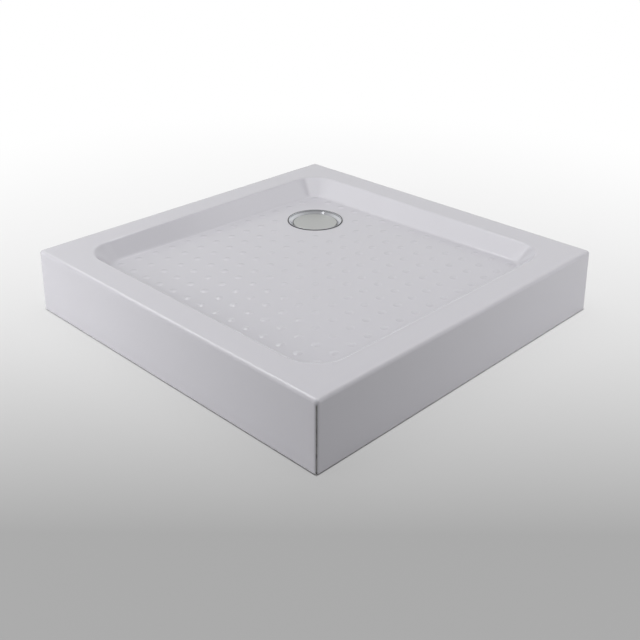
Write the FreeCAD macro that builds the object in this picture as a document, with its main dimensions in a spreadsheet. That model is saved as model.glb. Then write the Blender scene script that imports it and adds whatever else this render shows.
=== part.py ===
"""Shower tray, 900 mm square and 150 mm high, with its frame, feet and waste.

Millimetres. The origin is on the ground under the middle of the tray, +Z up. The corner towards
-X and -Y faces the viewer, and the waste lies towards the corner at +X and +Y. A node named for
the front stands on the -Y side, one named for the left on the -X side.
"""
import FreeCAD, Part
import math
import os
import re

import Sketcher

# Driving dimensions: name, value, meaning.
SIZES = [
    ("tray_side", 900, "outer side at the foot of the skirts"),
    ("tray_height", 150, "ground to rim"),
    ("skirt_gap", 3, "ground to the foot of the skirts"),
    ("skirt_draft", 1.95, "degrees that each skirt leans out towards its foot"),
    ("skirt_corner_radius", 8, "upright corner of the skirts"),
    ("rim_edge_radius", 7, "rounding from rim to skirt"),
    ("rim_width", 68, "flat rim with its two roundings"),
    ("sheet", 4, "acrylic sheet"),
    ("laminate", 2, "glass-fibre layer behind the sheet"),
    ("seam_width", 3, "upright seam at each corner"),
    ("seam_reach", 15, "how far a seam's cut runs in from the corner"),
    ("seam_top_gap", 9, "rim to the top of a seam"),
    ("basin_depth", 36.5, "rim to the middle of the floor"),
    ("basin_draft", 45, "degrees that the basin wall leans"),
    ("basin_corner_radius", 75, "corner of the basin in plan, at the rim"),
    ("basin_lip_radius", 8, "rounding from rim to basin wall"),
    ("basin_foot_radius", 12, "rounding from basin wall to floor"),
    ("floor_fall", 0.57, "degrees that the floor falls to the waste's corner"),
    ("dot_rows", 14, "anti-slip dots along a side"),
    ("dot_pitch", 48.5, "from dot to dot"),
    ("dot_diameter", 19, "anti-slip dot"),
    ("dot_height", 1.3, "dot above the floor"),
    ("dot_clear_radius", 96, "plain floor round the waste"),
    ("waste_offset", 200, "waste from the middle, along X and along Y"),
    ("well_radius", 71, "sunk ring in the floor"),
    ("well_ledge_radius", 65.5, "inner edge of the ring's ledge"),
    ("well_ledge_depth", 3.1, "floor to ledge"),
    ("well_seat_radius", 58.5, "bottom of the well"),
    ("well_seat_depth", 13.5, "floor to the bottom of the well"),
    ("waste_hole_radius", 45, "hole through the sheet"),
    ("gasket", 2, "trap gasket"),
    ("flange_radius", 68.5, "bright ring, outer edge"),
    ("flange_top_depth", 0.3, "floor to the top of the bright ring"),
    ("flange_rim", 1.6, "thickness of the ring's rim"),
    ("flange_wall", 1.8, "thickness of the ring's slopes"),
    ("flange_land_radius", 64.5, "where the ring's slope starts"),
    ("flange_knee_radius", 58, "where the slope steepens"),
    ("flange_knee_depth", 5, "floor to that knee"),
    ("flange_seat_radius", 55.5, "edge of the ring's flat bottom"),
    ("flange_seat_depth", 10.5, "floor to the ring's flat bottom"),
    ("flange_seat", 2, "thickness of the ring's flat bottom"),
    ("bore_radius", 33, "bore for the dip cup"),
    ("neck_wall", 2, "wall of the neck round that bore"),
    ("neck_length", 14, "neck under the flat bottom"),
    ("screw_circle_radius", 40, "screws that pull the ring to the trap"),
    ("flange_screw_radius", 2.5, "those screws"),
    ("flange_screw_head_radius", 3.9, "their heads"),
    ("flange_screw_head", 2, "height of a head"),
    ("flange_screw_length", 24, "their shanks"),
    ("flange_screw_count", 3, "number of those screws"),
    ("cover_radius", 56, "waste cover"),
    ("cover_depth", 4.5, "floor to the top of the cover"),
    ("cover_plate", 2, "thickness of the cover"),
    ("cover_edge_radius", 0.8, "rounding of the cover's edge"),
    ("carrier_radius", 35, "reach of the carrier's ribs"),
    ("carrier_hub_radius", 8, "carrier's hub"),
    ("carrier_rib_width", 6, "a rib of the carrier"),
    ("carrier_finger", 10, "fingers that centre the carrier in the cup"),
    ("carrier_finger_width", 3, "a finger, radially"),
    ("cup_rim_radius", 35.5, "rim of the dip cup"),
    ("cup_rim", 1.6, "thickness of that rim"),
    ("cup_clearance", 0.6, "cup to bore"),
    ("cup_wall", 1.8, "wall of the dip tube"),
    ("cup_bore_radius", 28, "mouth of the dip cup"),
    ("cup_bar_width", 4, "bar across the mouth, to pull the cup by"),
    ("cup_bar", 3, "height of that bar"),
    ("ring_groove", 3.2, "height of the O-ring's groove"),
    ("cup_depth", 12, "straight part of the cup under its rim"),
    ("cup_cone", 9, "height of the cup's funnel"),
    ("dip_radius", 17, "dip tube"),
    ("dip_bottom", 28, "ground to the end of the dip tube"),
    ("ring_radius", 1.5, "section of the cup's O-ring"),
    ("ring_depth", 5, "cup's rim to the middle of the O-ring"),
    ("ring_clearance", 0.05, "O-ring to bore"),
    ("trap_radius", 48, "trap body"),
    ("trap_wall", 4, "its wall"),
    ("trap_bottom", 18, "ground to the underside of the trap"),
    ("trap_floor", 3, "its bottom's thickness"),
    ("trap_flange_radius", 60, "its flange"),
    ("trap_flange", 4, "thickness of that flange"),
    ("trap_boss_radius", 4.3, "a screw boss"),
    ("trap_boss", 32, "length of a boss"),
    ("weir_radius", 31, "weir that holds the water seal"),
    ("weir_wall", 2, "its wall"),
    ("weir_top", 66, "ground to its top"),
    ("outlet_height", 44, "ground to the outlet's axis"),
    ("outlet_length", 75, "waste's axis to the end of the outlet"),
    ("outlet_radius", 23, "outlet socket, outside"),
    ("pipe_radius", 20.1, "socket for a 40 mm pipe"),
    ("pipe_socket", 20, "depth of that socket"),
    ("passage_radius", 17.5, "passage from trap to socket"),
    ("outlet_seal_length", 4, "seal at the outlet's end"),
    ("pipe_hole_radius", 24, "hole in the back skirt for the waste pipe"),
    ("nut_lap", 15, "outlet nut over the socket"),
    ("nut_lip", 4, "lip of the outlet nut"),
    ("nut_wall", 4.5, "wall of the outlet nut"),
    ("nut_rib_count", 12, "grip ribs round the outlet nut"),
    ("board_top", 98, "ground to the top of the board"),
    ("board", 12, "thickness of the board"),
    ("board_side", 700, "side of the board and of the bed"),
    ("board_corner_radius", 25, "their corners in plan"),
    ("board_hole_radius", 79, "hole round the well"),
    ("tube", 20, "square tube"),
    ("tube_wall", 1.5, "its wall"),
    ("rail_offset", 300, "outer rails from the middle"),
    ("rail_overhang", 30, "side rail past a corner foot"),
    ("foot_nut_flats", 19, "weld nut and lock nut across flats"),
    ("foot_nut_height", 10, "weld nut"),
    ("lock_nut_height", 7, "lock nut"),
    ("stem_radius", 6, "threaded stem"),
    ("stem_top", 76, "ground to the top of a stem"),
    ("stem_fit", 0.05, "stem to nut, radially"),
    ("stem_hole_clearance", 0.8, "stem to tube, radially"),
    ("collar_flats", 17, "spanner collar across flats"),
    ("collar", 6, "height of that collar"),
    ("pad_radius", 25, "foot pad"),
    ("pad_edge", 3, "upright edge of the pad"),
    ("pad_neck_radius", 13, "top of the pad"),
    ("pad_height", 10, "height of the pad"),
    ("pad_socket", 6, "depth of the stem's seat in the pad"),
    ("batten_height", 15, "skirt batten"),
    ("batten_width", 15, "its width"),
    ("batten_lift", 3, "skirt's foot to batten"),
    ("batten_length", 760, "its length"),
    ("screw_radius", 2.2, "wood screw"),
    ("screw_head_radius", 4.2, "its head"),
    ("screw_head", 2.4, "height of its head"),
    ("screw_bite", 9, "its grip in the board"),
    ("screw_clearance", 0.3, "screw to tube, radially"),
    ("screw_offset", 150, "screws from the middle of a rail"),
    ("fit_gap", 0.1, "gap round pieces that are slipped in and stay"),
]

# Heights and lengths that follow from the driving dimensions.
DERIVED = {
    "half_foot": "tray_side / 2",
    "skirt_height": "tray_height - skirt_gap",
    "half_top": "half_foot - skirt_height * tan(skirt_draft * 1 deg)",
    "half_opening": "half_top - rim_width",
    "floor_middle": "tray_height - basin_depth",
    "backing": "sheet + laminate",
    "waste_floor": "floor_middle - sqrt(2) * waste_offset * tan(floor_fall * 1 deg)",
    "gasket_top": "well_seat_depth + backing",
    "trap_top": "waste_floor - gasket_top - gasket",
    "rim_under": "flange_top_depth + flange_rim",
    "seat_under": "flange_seat_depth + flange_seat",
    "cup_top": "flange_seat_depth - cup_rim",
    "cover_under": "cover_depth + cover_plate",
    "cup_radius": "bore_radius - cup_clearance",
    "cup_bottom": "flange_seat_depth + cup_depth",
    "board_bottom": "board_top - board",
    "tube_bottom": "board_bottom - tube",
    "nut_bottom": "tube_bottom - foot_nut_height",
    "nut_bore": "stem_radius + stem_fit",
    "nut_radius": "outlet_radius + nut_wall",
    "slope_run": "flange_land_radius - flange_knee_radius",
    "slope_drop": "flange_knee_depth - flange_top_depth",
    "well_mitre": "tan(atan((well_seat_depth - well_ledge_depth)"
                  " / (well_ledge_radius - well_seat_radius)) / 2)",
    "upper_lean": "atan(slope_drop / slope_run)",
    "lower_lean": "atan((flange_seat_depth - flange_knee_depth)"
                  " / (flange_knee_radius - flange_seat_radius))",
    "knee_offset": "flange_wall / cos((lower_lean - upper_lean) / 2)",
    "knee_turn": "(upper_lean + lower_lean) / 2",
    "rim_under_radius": "flange_land_radius"
                        " + (flange_wall / cos(upper_lean) - flange_rim) * slope_run / slope_drop",
    "ring_centre_radius": "bore_radius - ring_clearance - ring_radius",
    "spigot_radius": "stem_radius - 1",
    "batten_foot": "skirt_gap + batten_lift",
    "skirt_inside": "half_foot - backing / cos(skirt_draft * 1 deg)",
}

FEET = {"front_left": (-1, -1), "front_right": (1, -1), "back_left": (-1, 1), "back_right": (1, 1),
        "middle": (0, 0)}
SIDES = {"right": 0, "back": 90, "left": 180, "front": 270}
FULL_TURN = 360

doc = FreeCAD.newDocument("shower_tray")
sheet = doc.addObject("Spreadsheet::Sheet", "sizes")
parts = []


def fill_sheet():
    """Write each driving dimension, its value and its meaning in a row of the sheet."""
    for row, (name, size, meaning) in enumerate(SIZES, start=1):
        sheet.set(f"A{row}", meaning)
        sheet.set(f"B{row}", str(size))
        sheet.setAlias(f"B{row}", name)
    doc.recompute()


SIZE_NAMES = {name for name, _, _ in SIZES}


def full(expression):
    """Spell out an expression: derived names become their formulas, sizes point at the sheet."""
    def spell(match):
        word = match.group(0)
        if word in DERIVED:
            return f"({full(DERIVED[word])})"
        if word in SIZE_NAMES:
            return f"{sheet.Name}.{word}"
        return word
    return re.sub(r"[a-z_]+", spell, expression)


def amount(expression):
    """Return an expression's present value as a number."""
    return float(sheet.evalExpression(full(expression)))


def bind(target, **expressions):
    """Bind properties of an object to expressions."""
    for name, expression in expressions.items():
        target.setExpression(name, full(expression))


def move(target, x="0", y="0", z="0", attribute="Placement"):
    """Bind the place of a body, or of a sketch on its plane, to expressions."""
    for axis, expression in zip("xyz", (x, y, z)):
        target.setExpression(f"{attribute}.Base.{axis}", full(expression))


# ---------------------------------------------------------------- sketches and features

def new_body(label):
    body = doc.addObject("PartDesign::Body", label)
    body.Label = label
    return body


def new_sketch(body, name, role="XY_Plane", **place):
    """Make a sketch on one of the body's origin planes, moved off it where a place is given."""
    sketch = body.newObject("Sketcher::SketchObject", name)
    plane = next(item for item in body.Origin.OriginFeatures if item.Role == role)
    sketch.AttachmentSupport = [(plane, "")]
    sketch.MapMode = "FlatFace"
    if place:
        move(sketch, attribute="AttachmentOffset", **place)
    return sketch


def fix_point(sketch, element, vertex, x, y):
    """Hold a point of a sketch at a distance from the sketch's origin."""
    for kind, expression in (("DistanceX", x), ("DistanceY", y)):
        index = sketch.addConstraint(
            Sketcher.Constraint(kind, -1, 1, element, vertex, amount(expression)))
        sketch.setExpression(f"Constraints[{index}]", full(expression))


def draw_outline(sketch, *points):
    """Draw a closed outline through points given as pairs of expressions."""
    spots = [FreeCAD.Vector(amount(x), amount(y), 0) for x, y in points]
    lines = [sketch.addGeometry(Part.LineSegment(start, end))
             for start, end in zip(spots, spots[1:] + spots[:1])]
    for line, following in zip(lines, lines[1:] + lines[:1]):
        sketch.addConstraint(Sketcher.Constraint("Coincident", line, 2, following, 1))
    for line, (x, y) in zip(lines, points):
        fix_point(sketch, line, 1, x, y)
    return sketch


def draw_rectangle(sketch, width, depth, x="0", y="0"):
    """Draw a rectangle about a point."""
    left, right = f"{x} - ({width}) / 2", f"{x} + ({width}) / 2"
    low, high = f"{y} - ({depth}) / 2", f"{y} + ({depth}) / 2"
    return draw_outline(sketch, (left, low), (right, low), (right, high), (left, high))


def draw_rounded_square(sketch, side, radius):
    """Draw a square about the middle, with a quarter circle at each corner."""
    half, reach = f"({side}) / 2", f"({side}) / 2 - ({radius})"
    centre = {"x": (reach, f"-({reach})", f"-({reach})", reach),
              "y": (reach, reach, f"-({reach})", f"-({reach})")}
    start = {"x": (half, f"-({reach})", f"-({half})", reach),
             "y": (reach, half, f"-({reach})", f"-({half})")}
    arcs = []
    for turn in range(4):
        middle = FreeCAD.Vector(amount(centre["x"][turn]), amount(centre["y"][turn]), 0)
        circle = Part.Circle(middle, FreeCAD.Vector(0, 0, 1), amount(radius))
        arcs.append(sketch.addGeometry(
            Part.ArcOfCircle(circle, turn * math.pi / 2, (turn + 1) * math.pi / 2)))
    for turn, arc in enumerate(arcs):
        following = arcs[(turn + 1) % 4]
        line = sketch.addGeometry(Part.LineSegment(
            sketch.Geometry[arc].EndPoint, sketch.Geometry[following].StartPoint))
        sketch.addConstraint(Sketcher.Constraint("Coincident", line, 2, following, 1))
        fix_point(sketch, arc, 3, centre["x"][turn], centre["y"][turn])
        fix_point(sketch, arc, 1, start["x"][turn], start["y"][turn])
        sketch.addConstraint(Sketcher.Constraint("Tangent", arc, 2, line, 1))
    return sketch


def draw_circle(sketch, radius, x="0", y="0"):
    """Draw a circle about a point."""
    centre = FreeCAD.Vector(amount(x), amount(y), 0)
    circle = sketch.addGeometry(Part.Circle(centre, FreeCAD.Vector(0, 0, 1), amount(radius)))
    index = sketch.addConstraint(Sketcher.Constraint("Radius", circle, amount(radius)))
    sketch.setExpression(f"Constraints[{index}]", full(radius))
    fix_point(sketch, circle, 3, x, y)
    return sketch


def draw_hexagon(sketch, flats, x="0", y="0"):
    """Draw a hexagon given across its flats."""
    corners = [(f"{x} + ({flats}) / sqrt(3) * cos({turn} deg)",
                f"{y} + ({flats}) / sqrt(3) * sin({turn} deg)") for turn in range(0, 360, 60)]
    return draw_outline(sketch, *corners)


def add_pad(body, sketch, length, down=False, middle=False, taper=None):
    """Extrude a sketch."""
    pad = body.newObject("PartDesign::Pad", f"{sketch.Name}_pad")
    pad.Profile = sketch
    pad.Reversed = down
    pad.Midplane = middle
    bind(pad, Length=length)
    if taper:
        bind(pad, TaperAngle=taper)
    doc.recompute()
    return pad


def add_pocket(body, sketch, length=None, up=False, middle=False):
    """Cut a sketch into the body, all the way where no length is given."""
    before = body.Shape.Volume
    pocket = body.newObject("PartDesign::Pocket", f"{sketch.Name}_pocket")
    pocket.Profile = sketch
    pocket.Reversed = up
    pocket.Midplane = middle
    if length:
        bind(pocket, Length=length)
    else:
        pocket.Type = "ThroughAll"
    doc.recompute()
    assert pocket.Shape.Volume < before, f"{pocket.Name} cuts nothing"
    return pocket


def add_turned(body, sketch, kind="Revolution"):
    """Turn a sketch all the way round its upright axis, as a solid or as a groove."""
    before = body.Shape.Volume if body.Shape.Solids else 0
    turned = body.newObject(f"PartDesign::{kind}", f"{sketch.Name}_{kind.lower()}")
    turned.Profile = sketch
    turned.ReferenceAxis = (sketch, ["V_Axis"])
    turned.Angle = FULL_TURN
    doc.recompute()
    assert kind != "Groove" or turned.Shape.Volume < before, f"{turned.Name} cuts nothing"
    return turned


def add_ring_pattern(body, feature, count):
    """Repeat a feature round the body's upright axis."""
    axis = next(item for item in body.Origin.OriginFeatures if item.Role == "Z_Axis")
    pattern = body.newObject("PartDesign::PolarPattern", f"{feature.Name}_ring")
    pattern.Originals = [feature]
    pattern.Axis = (axis, [""])
    pattern.Angle = FULL_TURN
    bind(pattern, Occurrences=count)
    body.Tip = pattern
    doc.recompute()
    return pattern


def add_fillet(body, name, radius, chosen):
    """Round the edges of the body's tip for which chosen(edge) is true."""
    tip = body.Tip
    edges = [f"Edge{number}" for number, edge in enumerate(tip.Shape.Edges, start=1) if chosen(edge)]
    assert edges, f"{name} finds no edge"
    fillet = body.newObject("PartDesign::Fillet", name)
    fillet.Base = (tip, edges)
    bind(fillet, Radius=radius)
    doc.recompute()
    return fillet


def level_at(z):
    """Choose edges that lie level at a height."""
    return lambda edge: abs(edge.BoundBox.ZMin - z) < 1e-4 and abs(edge.BoundBox.ZMax - z) < 1e-4


def is_upright(edge):
    """Choose the steep straight edges at the corners of a block."""
    box = edge.BoundBox
    return box.ZLength > 3 * max(box.XLength, box.YLength)


def keep(item, label=None):
    """List a finished sub-part."""
    item.Label = label or item.Label
    parts.append(item)
    return item


# ---------------------------------------------------------------- the tray

def tilt_to_floor(sketch, height):
    """Lay a level sketch parallel to the floor, which falls towards +X and +Y."""
    axis = FreeCAD.Vector(-1, 1, 0)
    sketch.AttachmentOffset = FreeCAD.Placement(
        FreeCAD.Vector(), FreeCAD.Rotation(axis, amount("floor_fall")))
    move(sketch, z=height, attribute="AttachmentOffset")
    sketch.setExpression("AttachmentOffset.Rotation.Angle", full("floor_fall * 1 deg"))


def make_basin_space(label, outset):
    """The room inside the basin, or that room and the sheet round it where it is made larger.

    Leaning walls go down to the sloping floor, round at every corner, and the well of the waste
    is a level step, a ledge and a cone below the floor.
    """
    body = new_body(label)
    opening = new_sketch(body, f"{label}_opening", z="tray_height")
    spread = f"{outset} / cos(basin_draft * 1 deg)"
    draw_rounded_square(opening, f"2 * (half_opening + {spread})", f"basin_corner_radius + {spread}")
    add_pad(body, opening, "4 / 3 * basin_depth", down=True, taper="-basin_draft")
    floor = new_sketch(body, f"{label}_floor")
    tilt_to_floor(floor, f"floor_middle - {outset} / cos(floor_fall * 1 deg)")
    draw_rectangle(floor, "tray_side", "tray_side")
    add_pocket(body, floor)
    lowest = min(body.Tip.Shape.Faces, key=lambda face: face.CenterOfMass.z)
    add_fillet(body, f"{label}_foot", f"basin_foot_radius + {outset}",
               lambda edge: any(edge.isSame(side) for side in lowest.Edges))

    well = new_sketch(body, f"{label}_well", "XZ_Plane", x="waste_offset", y="waste_floor",
                      z="-waste_offset")
    ledge, seat = f"-well_ledge_depth - {outset}", f"-well_seat_depth - {outset}"
    mouth = "basin_depth / 3"
    draw_outline(well, ("0", mouth), ("0", seat), (f"well_seat_radius + {outset} * well_mitre", seat),
                 (f"well_ledge_radius + {outset} * well_mitre", ledge),
                 (f"well_radius + {outset}", ledge), (f"well_radius + {outset}", mouth))
    add_turned(body, well)
    return body


def make_skirted_block(label, inset):
    """The tray's outside as a solid block with its basin, or the block that hollows it."""
    body = new_body(label)
    foot = new_sketch(body, f"{label}_foot", z="skirt_gap")
    side = f"2 * (half_foot - {inset} / cos(skirt_draft * 1 deg))"
    draw_rectangle(foot, side, side)
    add_pad(body, foot, f"skirt_height - {inset}", taper="-skirt_draft")
    add_fillet(body, f"{label}_corners", f"skirt_corner_radius - {inset}", is_upright)

    basin = body.newObject("PartDesign::Boolean", f"{label}_basin")
    basin.Type = "Cut"
    basin.Group = [make_basin_space(f"{label}_space", inset)]
    doc.recompute()

    level = level_at(amount(f"tray_height - {inset}"))
    halfway = amount("half_top - rim_width / 2")

    def is_outer(edge):
        return max(abs(edge.CenterOfMass.x), abs(edge.CenterOfMass.y)) > halfway

    add_fillet(body, f"{label}_edge", f"rim_edge_radius - {inset}",
               lambda edge: level(edge) and is_outer(edge))
    add_fillet(body, f"{label}_lip", f"basin_lip_radius - {inset}",
               lambda edge: level(edge) and not is_outer(edge))
    return body


def make_pipe_hole():
    """The room in the back skirt through which the waste pipe leaves."""
    hole = doc.addObject("Part::Cylinder", "pipe_hole")
    bind(hole, Radius="pipe_hole_radius", Height="2 * backing")
    hole.Placement.Rotation = FreeCAD.Rotation(FreeCAD.Vector(1, 0, 0), -90)
    move(hole, "waste_offset", "tray_side / 2 - 2 * backing", "outlet_height")
    return hole


def make_floor_dots():
    """The anti-slip dots: low caps on a square grid, level with the slope, clear of the waste."""
    base, rise = amount("dot_diameter / 2"), amount("dot_height")
    ball = (base ** 2 + rise ** 2) / (2 * rise)
    root = rise / 5
    latitude = math.degrees(math.asin((ball - rise - root) / ball))
    normal = FreeCAD.Rotation(FreeCAD.Vector(-1, 1, 0), amount("floor_fall")).multVec(FreeCAD.Vector(0, 0, 1))
    slope = math.tan(math.radians(amount("floor_fall"))) / math.sqrt(2)
    pitch, rows, waste = amount("dot_pitch"), int(amount("dot_rows")), amount("waste_offset")
    places = [(row - (rows - 1) / 2) * pitch for row in range(rows)]
    caps = []
    for x in places:
        for y in places:
            if math.hypot(x - waste, y - waste) < amount("dot_clear_radius"):
                continue
            on_floor = FreeCAD.Vector(x, y, amount("floor_middle") - slope * (x + y))
            centre = on_floor - normal * (ball - rise)
            caps.append(Part.makeSphere(ball, centre, normal, latitude, 90, FULL_TURN))
    dots = doc.addObject("Part::Feature", "floor_dots")
    dots.Shape = Part.makeCompound(caps)
    return dots


def make_tray_shell(hollow, pipe_hole):
    """The acrylic shell: the block hollowed from below, with its waste hole, seams and dots."""
    body = make_skirted_block("shell_block", "0")
    hole = new_sketch(body, "waste_hole", z="waste_floor")
    draw_circle(hole, "waste_hole_radius", "waste_offset", "waste_offset")
    add_pocket(body, hole)

    seam = new_sketch(body, "corner_seam", z="skirt_gap")
    near, far = "half_foot - seam_width / sqrt(8)", "half_foot + seam_width / sqrt(8)"
    run = "seam_reach / sqrt(2)"
    draw_outline(seam, (far, near), (near, far), (f"{near} - {run}", f"{far} - {run}"),
                 (f"{far} - {run}", f"{near} - {run}"))
    cut = add_pocket(body, seam, "skirt_height - seam_top_gap", up=True)
    add_ring_pattern(body, cut, "4")

    sheet_only = doc.addObject("Part::Cut", "formed_sheet")
    sheet_only.Base = body
    sheet_only.Tool = hollow
    dotted = doc.addObject("Part::Fuse", "dotted_sheet")
    dotted.Base = sheet_only
    dotted.Tool = make_floor_dots()
    shell = doc.addObject("Part::Cut", "tray_shell")
    shell.Base = dotted
    shell.Tool = pipe_hole
    return keep(shell)


def make_glass_layer(hollow, pipe_hole):
    """The laminate behind the sheet, over the whole underside and down the skirts."""
    layer = doc.addObject("Part::Cut", "whole_layer")
    layer.Base = hollow
    layer.Tool = make_skirted_block("under_layer", "backing")
    hole = doc.addObject("Part::Cylinder", "layer_hole")
    bind(hole, Radius="waste_hole_radius + fit_gap", Height="tray_height")
    move(hole, "waste_offset", "waste_offset")
    drained = doc.addObject("Part::Cut", "drained_layer")
    drained.Base = layer
    drained.Tool = hole
    glass = doc.addObject("Part::Cut", "glass_layer")
    glass.Base = drained
    glass.Tool = pipe_hole
    return keep(glass)


# ---------------------------------------------------------------- bed, board and frame

def make_square_layer(label, bottom, height):
    """A square layer with round corners and a hole round the well."""
    body = new_body(label)
    plan = new_sketch(body, f"{label}_plan", z=bottom)
    draw_rectangle(plan, "board_side", "board_side")
    add_pad(body, plan, height)
    add_fillet(body, f"{label}_corners", "board_corner_radius", is_upright)
    hole = new_sketch(body, f"{label}_hole", z=f"{bottom} + {height}")
    draw_circle(hole, "board_hole_radius", "waste_offset", "waste_offset")
    add_pocket(body, hole)
    return body


def make_foam_bed():
    """The bed between the level board and the sloping floor."""
    body = make_square_layer("foam_bed", "board_top", "basin_depth")
    slope = new_sketch(body, "bed_slope")
    tilt_to_floor(slope, "floor_middle - backing / cos(floor_fall * 1 deg)")
    draw_rectangle(slope, "tray_side", "tray_side")
    add_pocket(body, slope, up=True)
    return keep(body)


def screw_places():
    """Where screws go up through the frame: two in each tube."""
    near, far = "screw_offset", "rail_offset"
    along_rails = [(x, y) for x in (f"-{far}", "0", far) for y in (f"-{near}", near)]
    along_crosses = [(x, y) for x in (f"-{near}", near) for y in (f"-{far}", far)]
    return along_rails + along_crosses


def make_base_board():
    """The chipboard, drilled from below for the frame's screws."""
    body = make_square_layer("base_board", "board_bottom", "board")
    pilots = new_sketch(body, "pilot_holes", z="board_bottom")
    for x, y in screw_places():
        draw_circle(pilots, "screw_radius", x, y)
    add_pocket(body, pilots, "screw_bite", up=True)
    return keep(body)


def make_tube(label, offset, length, turn=0, stems=()):
    """A square tube on edge under the board, drilled for its screws and feet."""
    body = new_body(label)
    section = new_sketch(body, f"{label}_section", "XZ_Plane")
    height = "board_bottom - tube / 2"
    draw_rectangle(section, "tube", "tube", offset, height)
    draw_rectangle(section, "tube - 2 * tube_wall", "tube - 2 * tube_wall", offset, height)
    add_pad(body, section, length, middle=True)
    screws = new_sketch(body, f"{label}_screws", z="tube_bottom")
    for y in ("-screw_offset", "screw_offset"):
        draw_circle(screws, "screw_radius + screw_clearance", offset, y)
    add_pocket(body, screws, up=True)
    if stems:
        holes = new_sketch(body, f"{label}_stems", z="tube_bottom")
        for y in stems:
            draw_circle(holes, "stem_radius + stem_hole_clearance", offset, y)
        add_pocket(body, holes, "tube_wall", up=True)
    body.Placement.Rotation = FreeCAD.Rotation(FreeCAD.Vector(0, 0, 1), turn)
    return keep(body)


def make_frame():
    """Two side rails over the corner feet, two cross rails and a middle rail between them."""
    between = "2 * rail_offset - tube"
    side_length = "2 * (rail_offset + rail_overhang)"
    ends = ("-rail_offset", "rail_offset")
    make_tube("frame_rail_left", "-rail_offset", side_length, stems=ends)
    make_tube("frame_rail_right", "rail_offset", side_length, stems=ends)
    make_tube("frame_rail_middle", "0", between, stems=("0",))
    quarter = 90
    make_tube("frame_cross_front", "-rail_offset", between, turn=quarter)
    make_tube("frame_cross_back", "rail_offset", between, turn=quarter)


def make_frame_screws():
    """Pan-head screws up through the tubes into the board."""
    body = new_body("frame_screws")
    heads = new_sketch(body, "screw_heads", z="tube_bottom")
    shanks = new_sketch(body, "screw_shanks", z="tube_bottom")
    for x, y in screw_places():
        draw_circle(heads, "screw_head_radius", x, y)
        draw_circle(shanks, "screw_radius", x, y)
    add_pad(body, heads, "screw_head", down=True)
    add_pad(body, shanks, "tube + screw_bite")
    return keep(body)


def make_batten(side, turn):
    """A strip bonded inside a skirt's foot, leaning with the skirt."""
    body = new_body(f"skirt_batten_{side}")
    plan = new_sketch(body, f"batten_plan_{side}", z="batten_foot")
    middle = "skirt_inside - batten_lift * tan(skirt_draft * 1 deg) - batten_width / 2"
    draw_rectangle(plan, "batten_width", "batten_length", middle)
    pad = add_pad(body, plan, "batten_height")
    lean = math.tan(math.radians(amount("skirt_draft")))
    pad.UseCustomVector = True
    pad.AlongSketchNormal = True
    pad.Direction = FreeCAD.Vector(-lean, 0, 1)
    body.Placement.Rotation = FreeCAD.Rotation(FreeCAD.Vector(0, 0, 1), turn)
    doc.recompute()
    return keep(body)


# ---------------------------------------------------------------- feet

def foot_place(name):
    x, y = FEET[name]
    return f"{x} * rail_offset", f"{y} * rail_offset"


def make_foot_nuts(label, top, height):
    """A nut round every stem."""
    body = new_body(label)
    plan = new_sketch(body, f"{label}_plan", z=top)
    for name in FEET:
        x, y = foot_place(name)
        draw_hexagon(plan, "foot_nut_flats", x, y)
        draw_circle(plan, "nut_bore", x, y)
    add_pad(body, plan, height, down=True)
    return keep(body)


def make_foot(name):
    """One levelling foot: a pad, and a stem whose spigot turns in the pad's seat."""
    pad = new_body(f"foot_pad_{name}")
    section = new_sketch(pad, f"pad_section_{name}", "XZ_Plane")
    seat_radius, seat_floor = "spigot_radius + stem_fit", "pad_height - pad_socket"
    draw_outline(section, ("0", "0"), ("pad_radius", "0"), ("pad_radius", "pad_edge"),
                 ("pad_neck_radius", "pad_height"), (seat_radius, "pad_height"),
                 (seat_radius, seat_floor), ("0", seat_floor))
    add_turned(pad, section)

    stem = new_body(f"foot_stem_{name}")
    spigot = new_sketch(stem, f"spigot_{name}", z=seat_floor)
    draw_circle(spigot, "spigot_radius")
    add_pad(stem, spigot, "pad_socket + collar / 2")
    collar = new_sketch(stem, f"collar_{name}", z="pad_height")
    draw_hexagon(collar, "collar_flats")
    add_pad(stem, collar, "collar")
    rod = new_sketch(stem, f"rod_{name}", z="pad_height")
    draw_circle(rod, "stem_radius")
    add_pad(stem, rod, "stem_top - pad_height")
    for body in (pad, stem):
        move(body, *foot_place(name))
        keep(body)


# ---------------------------------------------------------------- waste

def new_waste_body(label):
    """A body whose upright axis is the waste's, with heights from the ground."""
    body = new_body(label)
    move(body, "waste_offset", "waste_offset")
    return body


def below_floor(depth):
    """Return a height, given how far it lies below the floor at the waste."""
    return f"waste_floor - ({depth})"


def turn_section(label, *points):
    """A sub-part round the waste's axis, turned from its section."""
    body = new_waste_body(label)
    section = new_sketch(body, f"{label}_section", "XZ_Plane")
    draw_outline(section, *points)
    add_turned(body, section)
    return body


def draw_screw_ring(sketch, radius):
    """Draw the flange screws' circles."""
    step = FULL_TURN / amount("flange_screw_count")
    for number in range(int(amount("flange_screw_count"))):
        draw_circle(sketch, radius, f"screw_circle_radius * cos({number * step} deg)",
                    f"screw_circle_radius * sin({number * step} deg)")
    return sketch


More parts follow.
